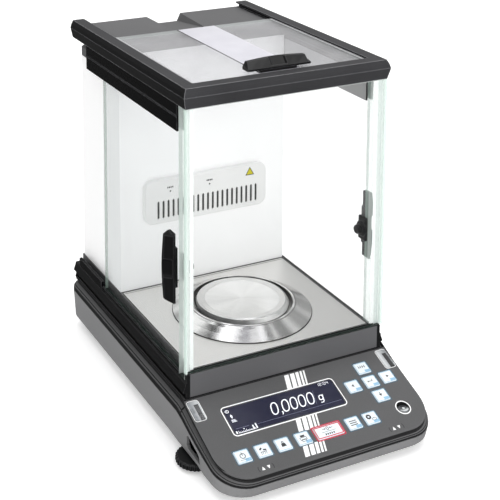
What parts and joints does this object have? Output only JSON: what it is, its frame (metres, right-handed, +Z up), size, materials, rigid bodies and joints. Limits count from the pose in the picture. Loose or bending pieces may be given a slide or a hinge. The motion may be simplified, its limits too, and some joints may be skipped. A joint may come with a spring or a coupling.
{
  "type": "analytical balance",
  "caption": "Analytical balance: glass draft shield with sliding side and top doors, round pan and draft ring, sloped key panel, levelling wheels and a white rear housing.",
  "frame": {"origin": "on the table top, below the centre of the overall bounding box", "axes": "+X to the right as the user faces the key panel, +Y towards the rear housing and sockets, +Z up; the key panel faces -Y"},
  "size_m": [0.2306, 0.3508, 0.3386],
  "materials": {
    "housing_grey": "fine spark-eroded grain, satin",
    "guide_black": "satin black",
    "housing_white": "smooth satin white",
    "shield_glass": "clear float glass with polished edges",
    "brushed_steel": "brushed",
    "polished_steel": "polished",
    "rubber": "matt",
    "dark_lens": "dark tinted, glossy",
    "key_white": "fine satin",
    "board_green": "circuit board lacquer",
    "aluminium": "machined",
    "brass": "machined",
    "vial_clear": "clear vial, yellow-green fluid"
  },
  "bodies": {
    "housing": {"base_tub": "housing_grey", "base_cover": "housing_grey", "display_window": "dark_lens", "display_module": "aluminium", "sensor_window_left": "dark_lens", "sensor_window_right": "dark_lens", "panel_board": "board_green", "main_board": "board_green", "level_vial": "vial_clear", "rear_foot_left": "rubber", "rear_foot_right": "rubber", "floor_plate": "brushed_steel", "load_cell_frame": "aluminium", "magnet_pot": "brushed_steel", "calibration_motor": "guide_black", "front_glass": "shield_glass", "corner_glass_left": "shield_glass", "corner_glass_right": "shield_glass", "top_frame": "housing_grey", "upper_guide_left": "guide_black", "upper_guide_right": "guide_black", "lower_guide_left": "guide_black", "lower_guide_right": "guide_black", "rear_wall": "housing_white", "rear_cover": "housing_white", "top_rear_cover": "housing_grey", "ioniser_housing": "housing_white", "power_socket": "guide_black", "data_port": "brushed_steel"},
    "left_door": {"left_door_glass": "shield_glass", "left_door_handle": "guide_black", "left_door_clamp": "guide_black"},
    "right_door": {"right_door_glass": "shield_glass", "right_door_handle": "guide_black", "right_door_clamp": "guide_black"},
    "top_door": {"top_door_glass": "shield_glass", "top_door_handle": "guide_black"},
    "left_foot_pad": {"foot_pad_left": "rubber"},
    "left_foot_wheel": {"foot_wheel_left": "guide_black"},
    "right_foot_pad": {"foot_pad_right": "rubber"},
    "right_foot_wheel": {"foot_wheel_right": "guide_black"},
    "pan_spindle": {"pan_support": "aluminium"},
    "cell_lever": {"load_cell_beam": "aluminium"},
    "pan": {"weighing_pan": "brushed_steel"},
    "ring": {"draft_ring": "polished_steel"},
    "cal_cam": {"calibration_cam": "brass"},
    "cal_weight": {"calibration_weight": "polished_steel"},
    "button_power": {"key_power": "key_white"},
    "button_clean": {"key_clean": "key_white"},
    "button_calibrate": {"key_calibrate": "key_white"},
    "button_print": {"key_print": "key_white"},
    "button_tare": {"key_tare": "key_white"},
    "button_menu": {"key_menu": "key_white"},
    "button_settings": {"key_settings": "key_white"},
    "button_unit": {"key_unit": "key_white"},
    "button_left": {"key_left": "key_white"},
    "button_enter": {"key_enter": "key_white"},
    "button_right": {"key_right": "key_white"},
    "button_down": {"key_down": "key_white"}
  },
  "joints": [
    {"name": "left_door_slide", "type": "slide", "parent": "housing", "child": "left_door", "axis": [0, 1, 0], "range_m": [0, 0.128]},
    {"name": "right_door_slide", "type": "slide", "parent": "housing", "child": "right_door", "axis": [0, 1, 0], "range_m": [0, 0.128]},
    {"name": "top_door_slide", "type": "slide", "parent": "housing", "child": "top_door", "axis": [0, 1, 0], "range_m": [0, 0.15]},
    {"name": "left_foot_height", "type": "slide", "parent": "housing", "child": "left_foot_pad", "axis": [0, 0, 1], "range_m": [-0.00375, 0.0005]},
    {"name": "left_foot_turn", "type": "hinge", "parent": "left_foot_pad", "child": "left_foot_wheel", "pos_m": [-0.0975, -0.1026, 0.0057], "axis": [0, 0, 1], "range_deg": [-1080, 144]},
    {"name": "right_foot_height", "type": "slide", "parent": "housing", "child": "right_foot_pad", "axis": [0, 0, 1], "range_m": [-0.00375, 0.0005]},
    {"name": "right_foot_turn", "type": "hinge", "parent": "right_foot_pad", "child": "right_foot_wheel", "pos_m": [0.0975, -0.1026, 0.0057], "axis": [0, 0, 1], "range_deg": [-1080, 144]},
    {"name": "pan_travel", "type": "slide", "parent": "housing", "child": "pan_spindle", "axis": [0, 0, 1], "range_m": [-0.0005, 0], "stiffness_N_per_m": 300, "springref_m": 0.006},
    {"name": "lever_tilt", "type": "hinge", "parent": "housing", "child": "cell_lever", "pos_m": [0, 0.0134, 0.044], "axis": [1, 0, 0], "range_deg": [0, 1.5]},
    {"name": "pan_lift_off", "type": "slide", "parent": "pan_spindle", "child": "pan", "axis": [0, 0, 1], "range_m": [0, 0.08]},
    {"name": "ring_lift_off", "type": "slide", "parent": "housing", "child": "ring", "axis": [0, 0, 1], "range_m": [0, 0.08]},
    {"name": "calibration_turn", "type": "hinge", "parent": "housing", "child": "cal_cam", "pos_m": [0, -0.0266, 0.033], "axis": [-1, 0, 0], "range_deg": [0, 180]},
    {"name": "calibration_lower", "type": "slide", "parent": "housing", "child": "cal_weight", "axis": [0, 0, 1], "range_m": [-0.002, 0]},
    {"name": "press_power", "type": "slide", "parent": "housing", "child": "button_power", "axis": [0, 0.3338, -0.9426], "range_m": [0, 0.0004], "stiffness_N_per_m": 30, "springref_m": -0.0006},
    {"name": "press_clean", "type": "slide", "parent": "housing", "child": "button_clean", "axis": [0, 0.3338, -0.9426], "range_m": [0, 0.0004], "stiffness_N_per_m": 30, "springref_m": -0.0006},
    {"name": "press_calibrate", "type": "slide", "parent": "housing", "child": "button_calibrate", "axis": [0, 0.3338, -0.9426], "range_m": [0, 0.0004], "stiffness_N_per_m": 30, "springref_m": -0.0006},
    {"name": "press_print", "type": "slide", "parent": "housing", "child": "button_print", "axis": [0, 0.3338, -0.9426], "range_m": [0, 0.0004], "stiffness_N_per_m": 30, "springref_m": -0.0006},
    {"name": "press_tare", "type": "slide", "parent": "housing", "child": "button_tare", "axis": [0, 0.3338, -0.9426], "range_m": [0, 0.0004], "stiffness_N_per_m": 30, "springref_m": -0.0006},
    {"name": "press_menu", "type": "slide", "parent": "housing", "child": "button_menu", "axis": [0, 0.3338, -0.9426], "range_m": [0, 0.0004], "stiffness_N_per_m": 30, "springref_m": -0.0006},
    {"name": "press_settings", "type": "slide", "parent": "housing", "child": "button_settings", "axis": [0, 0.3338, -0.9426], "range_m": [0, 0.0004], "stiffness_N_per_m": 30, "springref_m": -0.0006},
    {"name": "press_unit", "type": "slide", "parent": "housing", "child": "button_unit", "axis": [0, 0.3338, -0.9426], "range_m": [0, 0.0004], "stiffness_N_per_m": 30, "springref_m": -0.0006},
    {"name": "press_left", "type": "slide", "parent": "housing", "child": "button_left", "axis": [0, 0.3338, -0.9426], "range_m": [0, 0.0004], "stiffness_N_per_m": 30, "springref_m": -0.0006},
    {"name": "press_enter", "type": "slide", "parent": "housing", "child": "button_enter", "axis": [0, 0.3338, -0.9426], "range_m": [0, 0.0004], "stiffness_N_per_m": 30, "springref_m": -0.0006},
    {"name": "press_right", "type": "slide", "parent": "housing", "child": "button_right", "axis": [0, 0.3338, -0.9426], "range_m": [0, 0.0004], "stiffness_N_per_m": 30, "springref_m": -0.0006},
    {"name": "press_down", "type": "slide", "parent": "housing", "child": "button_down", "axis": [0, 0.3338, -0.9426], "range_m": [0, 0.0004], "stiffness_N_per_m": 30, "springref_m": -0.0006}
  ],
  "couplings": [
    {"joint": "left_foot_turn", "follows": "left_foot_height", "rad_per_m": 5026.5},
    {"joint": "right_foot_turn", "follows": "right_foot_height", "rad_per_m": 5026.5},
    {"joint": "lever_tilt", "follows": "pan_travel", "rad_per_m": -50},
    {"joint": "calibration_turn", "follows": "calibration_lower", "rad_per_m": -1570.8}
  ]
}
